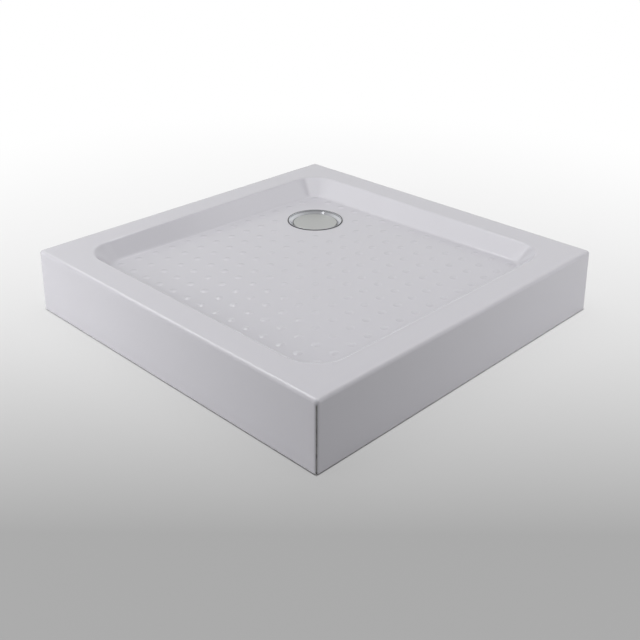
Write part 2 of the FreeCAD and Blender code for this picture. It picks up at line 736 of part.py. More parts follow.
def make_waste_flange():
    """The bright ring: a rim, two slopes down to a flat bottom, and a neck for the cup."""
    seat, under = below_floor("flange_seat_depth"), below_floor("seat_under")
    rim, rim_low = below_floor("flange_top_depth"), below_floor("rim_under")
    neck, neck_end = "bore_radius + neck_wall", below_floor("seat_under + neck_length")
    body = turn_section(
        "waste_flange",
        ("bore_radius", seat), ("flange_seat_radius", seat),
        ("flange_knee_radius", below_floor("flange_knee_depth")), ("flange_land_radius", rim),
        ("flange_radius", rim), ("flange_radius", rim_low), ("rim_under_radius", rim_low),
        ("flange_knee_radius + knee_offset * sin(knee_turn)",
         below_floor("flange_knee_depth + knee_offset * cos(knee_turn)")),
        ("flange_seat_radius + flange_wall / sin(lower_lean) - flange_seat / tan(lower_lean)", under),
        (neck, under), (neck, neck_end), ("bore_radius", neck_end))
    holes = draw_screw_ring(new_sketch(body, "flange_holes", z=seat), "flange_screw_radius")
    add_pocket(body, holes)
    return keep(body)


def make_gaskets():
    """The seal between ring and ledge, and the one between laminate and trap."""
    low, high = below_floor("well_ledge_depth"), below_floor("rim_under")
    inner, outer = "rim_under_radius + 3 * fit_gap", "well_radius - 3 * fit_gap"
    keep(turn_section("flange_gasket", (inner, low), (outer, low), (outer, high), (inner, high)))
    low, high = "trap_top", "trap_top + gasket"
    inner, outer = "waste_hole_radius + gasket / 2", "trap_flange_radius - gasket / 2"
    keep(turn_section("trap_gasket", (inner, low), (outer, low), (outer, high), (inner, high)))


def make_flange_screws():
    """The screws that pull ring and trap together through the tray."""
    body = new_waste_body("flange_screws")
    seat = below_floor("flange_seat_depth")
    heads = draw_screw_ring(new_sketch(body, "flange_screw_heads", z=seat), "flange_screw_head_radius")
    add_pad(body, heads, "flange_screw_head")
    shanks = draw_screw_ring(new_sketch(body, "flange_screw_shanks", z=seat), "flange_screw_radius")
    add_pad(body, shanks, "flange_screw_length", down=True)
    return keep(body)


def make_trap_body():
    """The trap: flanged cup, screw bosses, a weir that holds the water, and the outlet's socket."""
    flange_low, floor = "trap_top - trap_flange", "trap_bottom + trap_floor"
    body = turn_section(
        "trap_body", ("0", "trap_bottom"), ("trap_radius", "trap_bottom"), ("trap_radius", flange_low),
        ("trap_flange_radius", flange_low), ("trap_flange_radius", "trap_top"), ("0", "trap_top"))
    add_fillet(body, "trap_foot", "trap_wall", level_at(amount("trap_bottom")))
    outlet = new_sketch(body, "outlet_outside", "XZ_Plane")
    draw_circle(outlet, "outlet_radius", "0", "outlet_height")
    add_pad(body, outlet, "outlet_length", down=True)

    room = new_sketch(body, "trap_room", "XZ_Plane")
    weir_inside, inside = "weir_radius - weir_wall", "trap_radius - trap_wall"
    draw_outline(room, ("0", floor), (weir_inside, floor), (weir_inside, "weir_top"),
                 ("weir_radius", "weir_top"), ("weir_radius", floor), (inside, floor),
                 (inside, "trap_top"), ("0", "trap_top"))
    add_turned(body, room, "Groove")
    passage = new_sketch(body, "outlet_passage", "XZ_Plane", z="-(weir_radius + weir_wall)")
    draw_circle(passage, "passage_radius", "0", "outlet_height")
    add_pocket(body, passage, up=False)
    socket = new_sketch(body, "outlet_socket", "XZ_Plane", z="-outlet_length")
    draw_circle(socket, "pipe_radius", "0", "outlet_height")
    add_pocket(body, socket, "pipe_socket", up=True)

    seat_under = below_floor("seat_under")
    bosses = draw_screw_ring(new_sketch(body, "screw_bosses", z=seat_under), "trap_boss_radius")
    add_pad(body, bosses, "trap_boss", down=True)
    bores = draw_screw_ring(new_sketch(body, "boss_bores", z=seat_under), "flange_screw_radius")
    add_pocket(body, bores, "flange_screw_length")
    return keep(body)


def make_outlet_pieces():
    """The seal at the outlet's end and the nut that presses it round the pipe."""
    seal = new_body("outlet_seal")
    ring = new_sketch(seal, "seal_ring", z="outlet_length")
    draw_circle(ring, "outlet_radius - fit_gap")
    draw_circle(ring, "pipe_radius")
    add_pad(seal, ring, "outlet_seal_length")

    nut = new_body("outlet_nut")
    collar = new_sketch(nut, "nut_collar", z="outlet_length - nut_lap")
    draw_circle(collar, "nut_radius")
    draw_circle(collar, "outlet_radius")
    add_pad(nut, collar, "nut_lap + outlet_seal_length")
    rib = new_sketch(nut, "nut_rib", z="outlet_length - nut_lap")
    draw_rectangle(rib, "nut_wall", "nut_wall", "nut_radius - nut_wall / 3")
    ribs = add_pad(nut, rib, "nut_lap + outlet_seal_length")
    add_ring_pattern(nut, ribs, "nut_rib_count")
    lip = new_sketch(nut, "nut_lip_ring", z="outlet_length + outlet_seal_length")
    draw_circle(lip, "nut_radius")
    draw_circle(lip, "pipe_radius")
    add_pad(nut, lip, "nut_lip")

    towards_wall = FreeCAD.Rotation(FreeCAD.Vector(1, 0, 0), -90)
    for body in (seal, nut):
        body.Placement.Rotation = towards_wall
        move(body, "waste_offset", "waste_offset", "outlet_height")
        keep(body)


def make_dip_cup():
    """The cup that lifts out: rim, groove for its seal, funnel and dip tube, with a bar to hold."""
    top, seat = below_floor("cup_top"), below_floor("flange_seat_depth")
    bottom, funnel = below_floor("cup_bottom"), below_floor("cup_bottom + cup_cone")
    ring = below_floor("flange_seat_depth + ring_depth")
    groove, bore = "ring_centre_radius - ring_radius", "dip_radius - cup_wall"
    body = turn_section(
        "dip_cup", ("cup_bore_radius", top), ("cup_rim_radius", top), ("cup_rim_radius", seat),
        ("cup_radius", seat), ("cup_radius", f"{ring} + ring_groove / 2"),
        (groove, f"{ring} + ring_groove / 2"), (groove, f"{ring} - ring_groove / 2"),
        ("cup_radius", f"{ring} - ring_groove / 2"), ("cup_radius", bottom),
        ("dip_radius", funnel), ("dip_radius", "dip_bottom"), (bore, "dip_bottom"), (bore, funnel),
        ("cup_bore_radius", bottom))
    bar = new_sketch(body, "cup_bar_plan", z=bottom)
    draw_rectangle(bar, "2 * cup_bore_radius + cup_wall", "cup_bar_width")
    add_pad(body, bar, "cup_bar")
    keep(body)

    seal = doc.addObject("Part::Torus", "cup_seal")
    bind(seal, Radius1="ring_centre_radius", Radius2="ring_radius")
    move(seal, "waste_offset", "waste_offset", ring)
    return keep(seal)


def make_cover():
    """The satin cover, and the carrier that holds it over the cup and lets the water in."""
    under = below_floor("cover_under")
    cover = new_waste_body("waste_cover")
    disc = new_sketch(cover, "cover_disc", z=under)
    draw_circle(disc, "cover_radius")
    add_pad(cover, disc, "cover_plate")
    add_fillet(cover, "cover_edge", "cover_edge_radius", level_at(amount(below_floor("cover_depth"))))
    keep(cover)

    carrier = new_waste_body("cover_carrier")
    height = "cup_top - cover_under"
    hub = new_sketch(carrier, "carrier_hub", z=under)
    draw_circle(hub, "carrier_hub_radius")
    add_pad(carrier, hub, height, down=True)
    for name, width, depth in (("along_x", "2 * carrier_radius", "carrier_rib_width"),
                               ("along_y", "carrier_rib_width", "2 * carrier_radius")):
        rib = new_sketch(carrier, f"rib_{name}", z=under)
        draw_rectangle(rib, width, depth)
        add_pad(carrier, rib, height, down=True)
    finger = new_sketch(carrier, "carrier_finger_plan", z=under)
    draw_rectangle(finger, "carrier_finger_width", "carrier_rib_width",
                   "cup_bore_radius - carrier_finger_width")
    fingers = add_pad(carrier, finger, f"{height} + carrier_finger", down=True)
    add_ring_pattern(carrier, fingers, "4")
    return keep(carrier)


def finish():
    """Check every object and write each sub-part."""
    doc.recompute()
    for item in doc.Objects:
        assert not {"Invalid", "Error"} & set(item.State), f"{item.Label}: {item.State}"
    os.makedirs("parts", exist_ok=True)
    for item in parts:
        assert not item.Shape.isNull() and item.Shape.isValid(), item.Label
        print(item.Label, len(item.Shape.Solids), round(item.Shape.Volume), item.Shape.BoundBox)
        item.Shape.exportStep(f"parts/{item.Label}.step")


fill_sheet()
hollow = make_skirted_block("under_sheet", "sheet")
pipe_hole = make_pipe_hole()
make_tray_shell(hollow, pipe_hole)
make_glass_layer(hollow, pipe_hole)
make_foam_bed()
make_base_board()
make_frame()
make_frame_screws()
for side_name, side_turn in SIDES.items():
    make_batten(side_name, side_turn)
make_foot_nuts("foot_nuts", "tube_bottom", "foot_nut_height")
make_foot_nuts("lock_nuts", "nut_bottom", "lock_nut_height")
for foot_name in FEET:
    make_foot(foot_name)
make_waste_flange()
make_gaskets()
make_flange_screws()
make_trap_body()
make_outlet_pieces()
make_dip_cup()
make_cover()
finish()
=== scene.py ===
"""Dress a square acrylic shower tray: finishes, fine pieces, floor, light and camera.

Everything is in metres, in the tray's own frame: +Z up, the origin on the ground under its middle,
the waste towards +X and +Y, and the corner that faces the viewer towards -X and -Y.
"""

import math

import bmesh
import bpy
from bpy.props import FloatProperty, FloatVectorProperty, IntProperty, PointerProperty
from bpy.types import Operator, Panel, PropertyGroup
from mathutils import Matrix, Vector


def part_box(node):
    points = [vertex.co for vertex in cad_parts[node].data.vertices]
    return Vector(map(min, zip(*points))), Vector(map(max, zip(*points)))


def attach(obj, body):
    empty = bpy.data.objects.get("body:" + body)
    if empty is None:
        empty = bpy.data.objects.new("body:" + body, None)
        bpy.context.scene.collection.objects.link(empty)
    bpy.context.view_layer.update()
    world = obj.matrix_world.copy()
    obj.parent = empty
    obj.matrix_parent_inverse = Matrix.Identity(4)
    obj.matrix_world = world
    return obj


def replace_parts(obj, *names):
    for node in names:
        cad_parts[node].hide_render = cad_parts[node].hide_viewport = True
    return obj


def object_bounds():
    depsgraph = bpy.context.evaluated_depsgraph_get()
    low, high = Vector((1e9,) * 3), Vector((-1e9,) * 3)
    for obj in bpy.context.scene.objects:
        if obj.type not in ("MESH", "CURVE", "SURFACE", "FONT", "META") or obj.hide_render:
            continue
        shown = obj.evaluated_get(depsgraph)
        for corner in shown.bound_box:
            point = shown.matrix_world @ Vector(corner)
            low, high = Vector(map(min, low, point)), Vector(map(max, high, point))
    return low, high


bl_info = {
    "name": "Shower Tray",
    "version": (1, 0, 0),
    "blender": (4, 5, 0),
    "location": "View3D > Sidebar > Shower Tray",
    "description": "Finishes a square shower tray with its waste, frame and feet",
    "category": "Object",
}

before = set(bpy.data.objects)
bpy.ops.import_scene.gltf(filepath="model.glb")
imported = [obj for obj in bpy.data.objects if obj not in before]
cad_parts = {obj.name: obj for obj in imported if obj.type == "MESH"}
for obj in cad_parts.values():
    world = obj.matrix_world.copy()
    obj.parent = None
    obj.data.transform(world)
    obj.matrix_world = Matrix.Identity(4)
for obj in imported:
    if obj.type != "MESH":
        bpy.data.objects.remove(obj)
cad_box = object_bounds()

FEET = ("front_left", "front_right", "back_left", "back_right", "middle")
RAILS = ("frame_rail_left", "frame_rail_middle", "frame_rail_right")
CROSSES = ("frame_cross_front", "frame_cross_back")


def middle_of(node):
    """Return the middle of a node's box."""
    low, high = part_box(node)
    return (low + high) / 2


WASTE = middle_of("waste_cover")
TRAY_SIDE = cad_box[1][0] - cad_box[0][0]

# Sockets of a Mix node that blends colours. It has other sockets of the same names.
MIX_FACTOR, MIX_FIRST, MIX_SECOND, MIX_RESULT = 0, 6, 7, 2

# Colours of what is under the shell, and of the moulded pieces
RESIN, STRAND = (0.56, 0.56, 0.54), (0.72, 0.72, 0.69)
DARK_CHIP, PALE_CHIP = (0.36, 0.23, 0.12), (0.70, 0.54, 0.34)
SPRING_WOOD, SUMMER_WOOD = (0.76, 0.58, 0.36), (0.55, 0.36, 0.18)
CELL_MIDDLE, CELL_WALL = (0.62, 0.52, 0.32), (0.84, 0.77, 0.58)
BLACK_PLASTIC, BLACK_RUBBER = (0.035, 0.035, 0.037), (0.03, 0.03, 0.03)
GREY_PLASTIC, WHITE_PLASTIC = (0.42, 0.43, 0.44), (0.76, 0.76, 0.74)

# Fixed measures of the fine pieces
SHARP_ANGLE = math.radians(35)          # an edge that turns by more stays sharp
HEXAGON_TURN = math.radians(30)         # turns two flats of a hexagon to the front and back
MERGE_DISTANCE = 1e-6                   # nearer points of a turned profile become one
THREAD_ROOT, THREAD_CREST = 0.42, 0.07  # half widths of a thread, in pitches
NUT_GAP = 0.00005                       # from a thread's crests to a nut's bore
NUT_CUTS = 3                            # points added on each side of a nut
CHAMFER_SLOPE = 0.6                     # drop of a nut's corner per length past the flats
RING_STEPS = 96                         # faces round the waste's ring and its seal
CROWN_STEP = 30                         # degrees from point to point of a half-round top
SEAL_GAP = 0.0001                       # from the ring's edge to the seal's lip
SEAL_REACH = 0.003                      # how far the seal goes in under the ring

# Fixed measures of the stage
FLOOR_ROUGHNESS = 0.6
FADE_CURVE = 2.9                        # power of the floor's grey over the distance
GLOW_NEAR, GLOW_FAR = 0.5, 1.8          # distances between which the floor's glow rises to full
DIM_EDGE, DIM_MIDDLE = -0.2, 1.0        # cosines of the angle from the room's dimmest point

# Lamps, each with its place, the point that it faces, its side in metres and its watts.
# Panels give the light, and don't show in the gloss.
PANELS = {
    "overhead": ((0.3, 0.4, 2.4), (0.0, 0.0, 0.1), 2.6, 29.3),
    "left_panel": ((-2.1, 0.7, 0.9), (-0.3, 0.2, 0.1), 1.2, 12.6),
    "left_end": ((-1.4, 0.9, 0.55), (-0.4, 0.2, 0.08), 0.9, 4.2),
    "right_end": ((0.7, -1.5, 0.6), (0.2, -0.4, 0.08), 0.9, 4.3),
    "high_right": ((0.1, -1.7, 1.6), (0.1, 0.4, 0.1), 1.0, 3.8),
}
# Boxes show only in the shell's gloss: spots in the far corner, and soft light on the walls.
SHELL_BOXES = {
    "left_spot": ((-0.03, 0.93, 2.23), (0.34, 0.34, 0.14), 0.4, 3.0),
    "right_spot": ((0.78, -0.10, 2.23), (0.34, 0.34, 0.14), 0.4, 3.0),
    "right_wall_box": ((-0.21, 0.85, 1.34), (0.37, -0.05, 0.14), 1.3, 12.0),
    "left_wall_box": ((2.76, -1.04, 2.89), (0.20, 0.36, 0.13), 1.0, 3.8),
    "corner_box": ((0.01, -0.89, 3.93), (0.33, 0.35, 0.13), 2.4, 40.0),
}
# These boxes show in the gloss of every piece, and above all in the ring's.
RING_BOXES = {
    "ring_box": ((-0.07, 0.80, 2.20), (0.25, 0.23, 0.11), 0.15, 0.35),
    "back_box": ((0.83, 1.57, 1.90), (0.0, 0.0, 0.1), 0.4, 2.0),
}


# ---------------------------------------------------------------- settings

class TrayFinish(PropertyGroup):
    """Colours and grain of the tray's materials."""
    acrylic: FloatVectorProperty(name="Acrylic", description="White of the acrylic sheet",
                                 default=(0.70, 0.69, 0.735), subtype="COLOR", min=0, max=1)
    acrylic_roughness: FloatProperty(name="Acrylic roughness", description="Dullness of its gloss",
                                     default=0.13, min=0, max=1, subtype="FACTOR")
    bright_metal: FloatVectorProperty(name="Bright metal", description="Ring round the waste",
                                      default=(0.60, 0.61, 0.635), subtype="COLOR", min=0, max=1)
    satin_metal: FloatVectorProperty(name="Satin metal", description="Waste cover",
                                     default=(0.47, 0.478, 0.468), subtype="COLOR", min=0, max=1)
    turning_pitch: FloatProperty(name="Turning pitch",
                                 description="Between turned lines on the cover",
                                 default=0.0006, unit="LENGTH")
    zinc: FloatVectorProperty(name="Zinc", description="Plated steel of frame, feet and nuts",
                              default=(0.58, 0.59, 0.61), subtype="COLOR", min=0, max=1)


class TrayStage(PropertyGroup):
    """Camera, floor and light."""
    target: FloatVectorProperty(name="Target", description="Point that the camera looks at",
                                default=(-0.0362, -0.0510, 0.003), subtype="XYZ", unit="LENGTH")
    azimuth: FloatProperty(name="Azimuth", description="Direction of view, round from +X",
                           default=math.radians(44.443), subtype="ANGLE")
    elevation: FloatProperty(name="Elevation", description="Camera above the horizon",
                             default=math.radians(28.006), subtype="ANGLE")
    roll: FloatProperty(name="Roll", description="Camera's tilt about its view",
                        default=math.radians(0.283), subtype="ANGLE")
    distance: FloatProperty(name="Distance", description="Camera to target", default=2.0869,
                            unit="LENGTH")
    lens: FloatProperty(name="Lens", description="Focal length in millimetres", default=51.12)
    floor_size: FloatProperty(name="Floor size", description="Side of the floor", default=40.0,
                              unit="LENGTH")
    near_floor: FloatProperty(name="Near floor", description="Grey of the floor at the front",
                              default=0.43, min=0, max=1, subtype="FACTOR")
    fade_start: FloatProperty(name="Fade starts", description="Ground distance from the camera",
                              default=1.12, unit="LENGTH")
    fade_end: FloatProperty(name="Fade ends", description="Ground distance from the camera",
                            default=3.3, unit="LENGTH")
    # Share of the floor's painted glow near the tray; the rest is lit, so some of the tray's
    # shadow shows.
    floor_glow_share: FloatProperty(name="Even share",
                              description="How even the floor is round the tray",
                              default=0.75, min=0, max=1, subtype="FACTOR")
    sky: FloatProperty(name="Sky", description="Strength of the even light", default=0.19, min=0)
    surround: FloatProperty(name="Surround",
                            description="Brightness of the room as seen and mirrored",
                            default=0.95, min=0)
    dim_part: FloatProperty(name="Dim part",
                            description="Brightness of the room above and behind the viewer",
                            default=0.42, min=0)
    dim_height: FloatProperty(name="Dim height", description="How high that dim part lies",
                              default=0.7)
    lamps: FloatProperty(name="Lamps", description="Scale of all the lamps", default=1.0, min=0)


class TrayDetail(PropertyGroup):
    """Sizes of the fine pieces."""
    thread_pitch: FloatProperty(name="Thread pitch", description="Pitch of the feet's threads",
                                default=0.00175, unit="LENGTH")
    thread_depth: FloatProperty(name="Thread depth", description="Depth of the feet's threads",
                                default=0.0009, unit="LENGTH")
    round_steps: IntProperty(name="Round steps", description="Faces round a small round piece",
                             default=24, min=12)
    collar_height: FloatProperty(name="Collar height", description="Spanner collar of a foot",
                                 default=0.006, unit="LENGTH")
    spigot_radius: FloatProperty(name="Spigot radius", description="Foot's spigot in its pad",
                                 default=0.005, unit="LENGTH")
    stem_radius: FloatProperty(name="Stem radius", description="Foot's thread over its crests",
                               default=0.006, unit="LENGTH")
    collar_flats: FloatProperty(name="Collar flats", description="Spanner collar across flats",
                                default=0.017, unit="LENGTH")
    nut_flats: FloatProperty(name="Nut flats", description="Foot nuts across flats",
                             default=0.019, unit="LENGTH")
    # The seal is real, but its black lip round the ring is painted shade, a dark line in place of
    # the edge's shadow and dark reflection.
    lip_width: FloatProperty(name="Seal lip", description="Seal's lip round the bright ring",
                             default=0.0021, unit="LENGTH")
    lip_height: FloatProperty(name="Lip height", description="Lip above the bright ring",
                              default=0.0025, unit="LENGTH")
    roll_width: FloatProperty(name="Rolled edge",
                              description="Width of the bright ring's rolled edge",
                              default=0.0018, unit="LENGTH")
    roll_height: FloatProperty(name="Roll height", description="That edge above the ring",
                               default=0.0024, unit="LENGTH")


def finish_settings():
    """Return the colours and grain."""
    return bpy.context.scene.tray_finish


def stage_settings():
    """Return what the camera, floor and light are made from."""
    return bpy.context.scene.tray_stage


def detail_settings():
    """Return the sizes of the fine pieces."""
    return bpy.context.scene.tray_detail


# ---------------------------------------------------------------- shader maths

class Signal:
    """A number or vector in a material; sums and products on it add nodes."""

    def __init__(self, finish, socket):
        self.finish = finish
        self.socket = socket

    def math(self, operation, *others, clamp=False):
        return self.finish.add("Math", {"operation": operation, "use_clamp": clamp},
                               dict(enumerate((self,) + others)))

    def __add__(self, other):
        return self.math("ADD", other)

    __radd__ = __add__

    def __mul__(self, other):
        return self.math("MULTIPLY", other)

    __rmul__ = __mul__

    def __sub__(self, other):
        return self.math("SUBTRACT", other)

    def __rsub__(self, other):
        return self.finish.add("Math", {"operation": "SUBTRACT"}, {0: other, 1: self})

    def __pow__(self, other):
        return self.math("POWER", other)

    def sine(self):
        return self.math("SINE")

    def clamped(self):
        return self.math("ADD", 0.0, clamp=True)

    def between(self, low, high):
        """Return 0 below low, 1 above high and a smooth rise between them."""
        return self.finish.add("MapRange", {"interpolation_type": "SMOOTHSTEP", "clamp": True},
                               {"Value": self, "From Min": low, "From Max": high})

    def parts(self):
        """Split a vector into its three numbers."""
        node = self.finish.make("SeparateXYZ", {}, {"Vector": self})
        return [Signal(self.finish, socket) for socket in node.outputs]


def shade(colour, amount):
    """Return a colour made darker or paler."""
    return tuple(min(1.0, part * amount) for part in colour)


class Finish:
    """A procedural material in the making."""

    def __init__(self, name, **fixed):
        self.material = bpy.data.materials.new(name)
        self.material.use_nodes = True
        self.tree = self.material.node_tree
        self.shader = self.tree.nodes["Principled BSDF"]
        for socket, value in fixed.items():
            self.set(socket, value)

    @classmethod
    def of_world(cls, world):
        """Work on a world's nodes in the same way."""
        room = cls.__new__(cls)
        room.tree = world.node_tree
        room.shader = room.tree.nodes["Background"]
        return room

    def make(self, kind, settings, inputs):
        """Add a node: first its settings, then the values and links of its sockets."""
        node = self.tree.nodes.new(f"ShaderNode{kind}")
        for name, value in settings.items():
            setattr(node, name, value)
        for name, value in inputs.items():
            self.feed(node.inputs[name], value)
        return node

    def add(self, kind, settings=None, inputs=None, output=0):
        """Add a node and return one of its outputs."""
        return Signal(self, self.make(kind, settings or {}, inputs or {}).outputs[output])

    def feed(self, socket, value):
        """Link a signal to a socket, or set the socket's own value."""
        if isinstance(value, Signal):
            self.tree.links.new(value.socket, socket)
        elif hasattr(socket.default_value, "__len__") and len(socket.default_value) == 4:
            socket.default_value = (*value[:3], 1.0)
        else:
            socket.default_value = value

    def set(self, name, value):
        self.feed(self.shader.inputs[name], value)

    def place(self):
        """Return the place on the piece, in metres."""
        return self.add("TexCoord", output="Object")

    def level_place(self):
        """Return the place's X and Y as two numbers."""
        return self.place().parts()[:2]

    def noise(self, scale, detail, roughness=0.5, at=None, stretch=None):
        """Return a noise pattern, at the place on the piece or at another vector."""
        where = at or self.place()
        if stretch:
            where = self.add("Mapping", {}, {"Vector": where, "Scale": stretch})
        return self.add("TexNoise", {}, {"Vector": where, "Scale": scale, "Detail": detail,
                                         "Roughness": roughness})

    def cells(self, scale, output="Distance"):
        """Return how far each point is from its cell's middle, or its cell's colour."""
        return self.add("TexVoronoi", {}, {"Vector": self.place(), "Scale": scale}, output=output)

    def mix(self, factor, first, second):
        """Blend two colours."""
        return self.add("Mix", {"data_type": "RGBA"},
                        {MIX_FACTOR: factor, MIX_FIRST: first, MIX_SECOND: second},
                        output=MIX_RESULT)

    def mix_shaders(self, factor, first, second):
        """Blend two shaders."""
        return self.add("MixShader", {}, {0: factor, 1: first, 2: second})

    def seen_by(self, *kinds):
        """Return 1 where a ray is of one of these kinds, and 0 elsewhere."""
        path = self.make("LightPath", {}, {})
        first, *others = (Signal(self, path.outputs[f"Is {kind} Ray"]) for kind in kinds)
        return sum(others, first).clamped()

    def vary(self, mask, colour, low, high):
        """Tint the surface with low times a colour where the mask is 0, and high times where 1."""
        self.set("Base Color", self.mix(mask, shade(colour, low), shade(colour, high)))

    def roughen(self, mask, least, spread):
        """Make the surface rougher as the mask rises."""
        self.set("Roughness", mask * spread + least)

    def bump(self, height, distance):
        """Raise and sink the surface."""
        self.set("Normal", self.add("Bump", {}, {"Height": height, "Distance": distance}))
        return self


def wear(finish, scale):
    """Return a soft patchy mask from 0 to 1."""
    return finish.noise(scale, detail=4.0).between(low=0.4, high=0.68)


def level_length(x, y):
    """Return the length of a level line."""
    return (x * x + y * y) ** 0.5


def make_acrylic():
    """Gloss acrylic: barely uneven white, faint orange peel and a trace of handling."""
    settings = finish_settings()
    finish = Finish("gloss_acrylic", IOR=1.49)
    finish.vary(finish.noise(scale=3.0, detail=3.0), settings.acrylic, low=0.985, high=1.012)
    handling = finish.noise(scale=22.0, detail=5.0, roughness=0.6).between(low=0.45, high=0.75)
    finish.roughen(handling, least=settings.acrylic_roughness, spread=0.05)
    peel = finish.noise(scale=320.0, detail=1.0)
    return finish.bump(peel, distance=0.00002).material


def make_bright_metal():
    """Polished plating with faint haze and grain."""
    finish = Finish("bright_plating", Metallic=1.0)
    haze = wear(finish, scale=60.0)
    finish.vary(haze, finish_settings().bright_metal, low=1.0, high=0.93)
    finish.roughen(haze, least=0.10, spread=0.06)
    grain = finish.noise(scale=900.0, detail=1.0)
    return finish.bump(grain, distance=0.00001).material


def distance_from_waste(finish):
    """Return the level distance from the waste's axis."""
    x, y = finish.level_place()
    return level_length(x - WASTE.x, y - WASTE.y)


def make_satin_metal():
    """Satin metal, turned in fine rings about the waste's axis."""
    settings = finish_settings()
    finish = Finish("satin_cover", Metallic=1.0)
    rings = (distance_from_waste(finish) * (2 * math.pi / settings.turning_pitch)).sine()
    smear = finish.noise(scale=45.0, detail=4.0)
    finish.vary(smear, settings.satin_metal, low=0.95, high=1.04)
    finish.roughen(smear, least=0.30, spread=0.10)
    return finish.bump(rings, distance=0.000012).material


def make_zinc(name="zinc_plate"):
    """Zinc plating with its spangle and a few dull patches."""
    finish = Finish(name, Metallic=0.9)
    spangle = finish.cells(scale=160.0)
    dull = wear(finish, scale=14.0)
    finish.vary(dull, finish_settings().zinc, low=1.05, high=0.78)
    finish.set("Roughness", (spangle * 0.25 + dull * 0.2 + 0.28).clamped())
    return finish.bump(spangle, distance=0.00003).material


def make_moulded(name, colour, roughness):
    """Moulded plastic or rubber with a fine grain."""
    finish = Finish(name)
    patches = finish.noise(scale=30.0, detail=3.0)
    finish.vary(patches, colour, low=0.92, high=1.06)
    finish.roughen(patches, least=roughness, spread=0.12)
    grain = finish.noise(scale=520.0, detail=2.0)
    return finish.bump(grain, distance=0.00005).material


def make_laminate():
    """Glass-fibre laminate: short crossed strands under resin."""
    finish = Finish("glass_laminate", IOR=1.52)
    strands = []
    for angle in (0.3, 1.4, 2.5):
        turned = finish.add("Mapping", {}, {"Vector": finish.place(),
                                            "Rotation": (0.0, 0.0, angle),
                                            "Scale": (260.0, 18.0, 60.0)})
        strands.append(finish.noise(scale=1.0, detail=2.0, at=turned).between(low=0.52, high=0.66))
    mat = (strands[0] + strands[1] + strands[2]).clamped()
    finish.set("Base Color", finish.mix(mat, RESIN, STRAND))
    finish.roughen(mat, least=0.32, spread=0.25)
    return finish.bump(mat, distance=0.0003).material


def make_chipboard():
    """Chipboard: pressed chips of several tones."""
    finish = Finish("chipboard")
    tone = finish.cells(scale=170.0, output="Color").parts()[0]
    chips = finish.noise(scale=240.0, detail=3.0, stretch=(1.0, 0.35, 1.0))
    blend = (tone * 0.6 + chips * 0.5).clamped()
    finish.set("Base Color", finish.mix(blend, DARK_CHIP, PALE_CHIP))
    finish.roughen(chips, least=0.7, spread=0.2)
    return finish.bump(tone + chips, distance=0.0002).material


def make_timber(along_x):
    """Softwood with its grain along the batten."""
    finish = Finish("softwood_x" if along_x else "softwood_y")
    stretch = (3.0, 70.0, 70.0) if along_x else (70.0, 3.0, 70.0)
    rings = finish.noise(scale=1.0, detail=4.0, roughness=0.6, stretch=stretch)
    pores = finish.noise(scale=6.0, detail=2.0, stretch=stretch)
    grain = rings.between(low=0.3, high=0.7)
    finish.set("Base Color", finish.mix(grain, SPRING_WOOD, SUMMER_WOOD))
    finish.roughen(pores, least=0.6, spread=0.2)
    return finish.bump(rings + pores, distance=0.0003).material


def make_foam():
    """Closed-cell foam."""
    finish = Finish("bed_foam")
    cells = finish.cells(scale=380.0)
    finish.set("Base Color", finish.mix(cells, CELL_MIDDLE, CELL_WALL))
    finish.roughen(cells, least=0.7, spread=0.2)
    return finish.bump(cells, distance=0.0004).material


# ---------------------------------------------------------------- shared helpers

def dress(material, *names):
    """Give carried-over nodes a finish."""
    for name in names:
        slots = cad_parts[name].data.materials
        slots.clear()
        slots.append(material)


def aim(piece, place, target, roll=0.0):
    """Put a lamp or camera at a place, looking at a target."""
    back = (Vector(place) - Vector(target)).normalized()
    turn = back.to_track_quat("Z", "Y").to_matrix().to_4x4()
    piece.matrix_world = Matrix.Translation(place) @ turn @ Matrix.Rotation(roll, 4, "Z")


def turn_profile(build, points, centre, steps):
    """Turn a profile of (radius, height) pairs all the way round an upright axis."""
    corners = [build.verts.new((centre[0] + radius, centre[1], height))
               for radius, height in points]
    edges = [build.edges.new(pair) for pair in zip(corners, corners[1:])]
    bmesh.ops.spin(build, geom=corners + edges, cent=(centre[0], centre[1], 0), axis=(0, 0, 1),
                   dvec=(0, 0, 0), angle=2 * math.pi, steps=steps, use_merge=True)
    bmesh.ops.remove_doubles(build, verts=build.verts, dist=MERGE_DISTANCE)


def add_hexagon(build, flats, low, high, centre, chamfer):
    """Add a hexagonal block with bevelled edges."""
    reach = flats / math.sqrt(3)
    made = bmesh.ops.create_cone(build, cap_ends=True, segments=6, depth=high - low,
                                 radius1=reach, radius2=reach,
                                 matrix=Matrix.Translation((*centre, (low + high) / 2))
                                 @ Matrix.Rotation(HEXAGON_TURN, 4, "Z"))
    edges = list({edge for vert in made["verts"] for edge in vert.link_edges})
    bmesh.ops.bevel(build, geom=edges, offset=chamfer, segments=2, profile=0.5, affect="EDGES",
                    material=-1)


def finish_piece(build, name, body, material):
    """Make the piece's object: faces out, smooth but for its sharp edges, on its body."""
    bmesh.ops.recalc_face_normals(build, faces=build.faces)
    for face in build.faces:
        face.smooth = True
    for edge in build.edges:
        edge.smooth = len(edge.link_faces) == 2 and edge.calc_face_angle() < SHARP_ANGLE
    mesh = bpy.data.meshes.new(name)
    build.to_mesh(mesh)
    build.free()
    mesh.materials.append(material)
    piece = bpy.data.objects.new(name, mesh)
    bpy.context.scene.collection.objects.link(piece)
    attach(piece, body)
    return piece


class TrayOperator:
    """What the tray's operators share."""
    bl_options = {"REGISTER", "UNDO"}


class TRAY_OT_shell(TrayOperator, Operator):
    """Finish the acrylic shell"""
    bl_idname = "tray.shell"
    bl_label = "Acrylic Shell"

    def execute(self, context):
        dress(make_acrylic(), "tray_shell")
        return {"FINISHED"}


